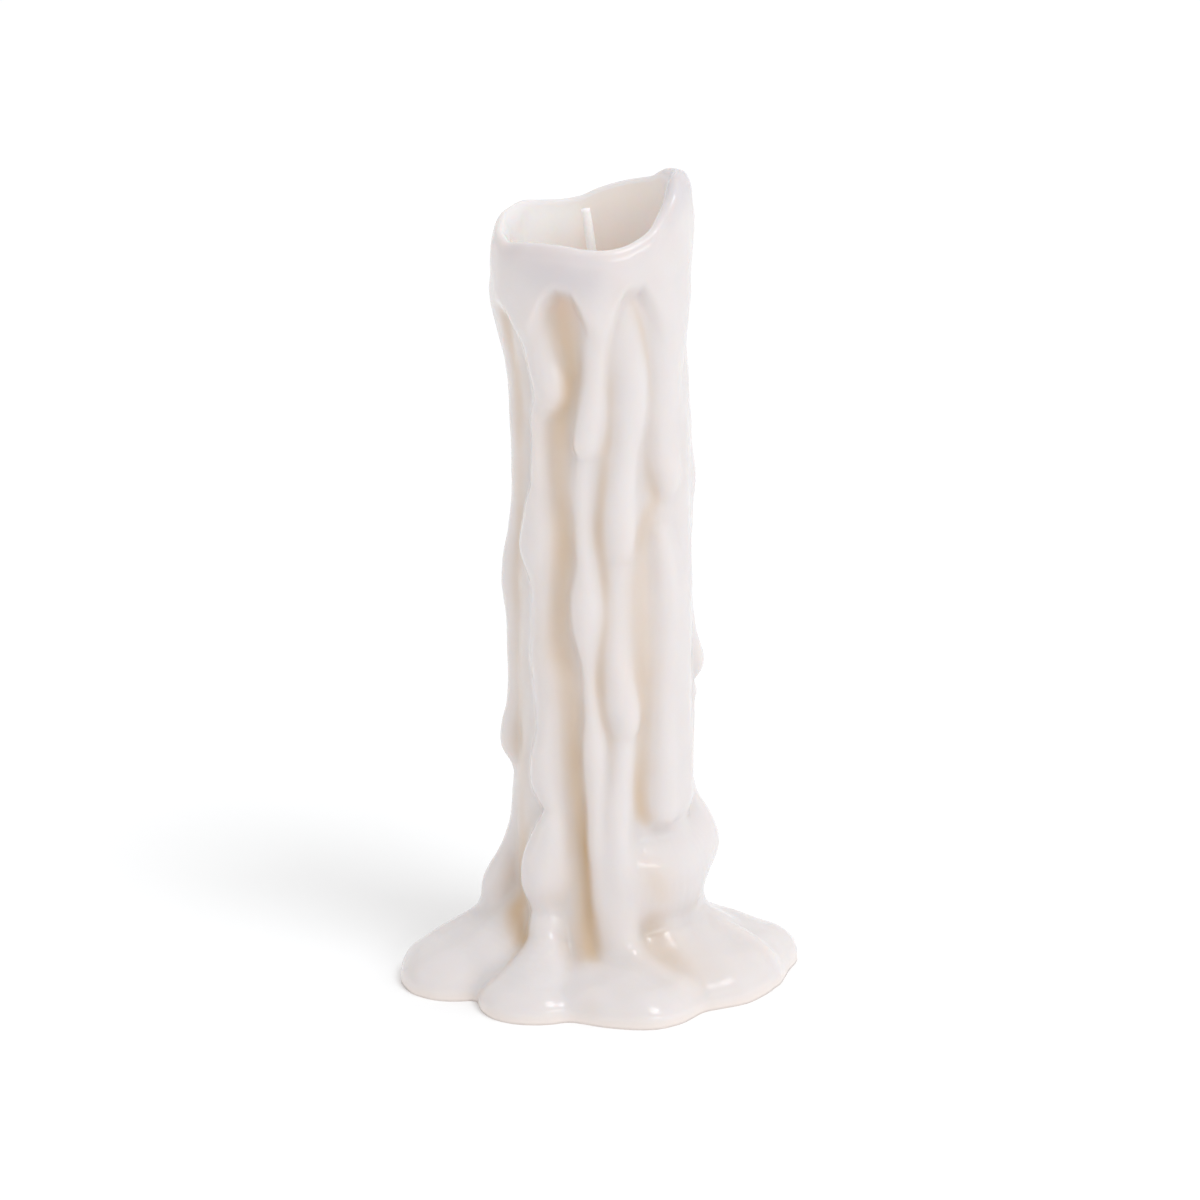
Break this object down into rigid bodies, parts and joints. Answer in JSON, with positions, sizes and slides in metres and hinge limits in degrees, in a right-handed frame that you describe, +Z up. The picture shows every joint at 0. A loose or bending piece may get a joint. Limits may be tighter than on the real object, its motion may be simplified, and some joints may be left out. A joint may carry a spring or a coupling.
{
  "type": "pillar candle",
  "caption": "Partly burned pillar candle: a hollow cup with a raised lip, wax drips down the sides, a spread foot and a short wick.",
  "frame": {"origin": "centre of the bounding box in plan, on the surface that the candle stands on", "axes": "+Z up along the pillar; -Y is the front, where the rim is lowest; +X is the side with the raised lip"},
  "size_m": [0.1072, 0.0993, 0.2206],
  "materials": {
    "ivory_wax": "translucent ivory wax with a soft sheen, browner in the recesses between the drips",
    "cotton": "plain braided cotton, stiff with wax"
  },
  "bodies": {
    "root": {"wax_body": "ivory_wax", "wick": "cotton"}
  },
  "joints": []
}
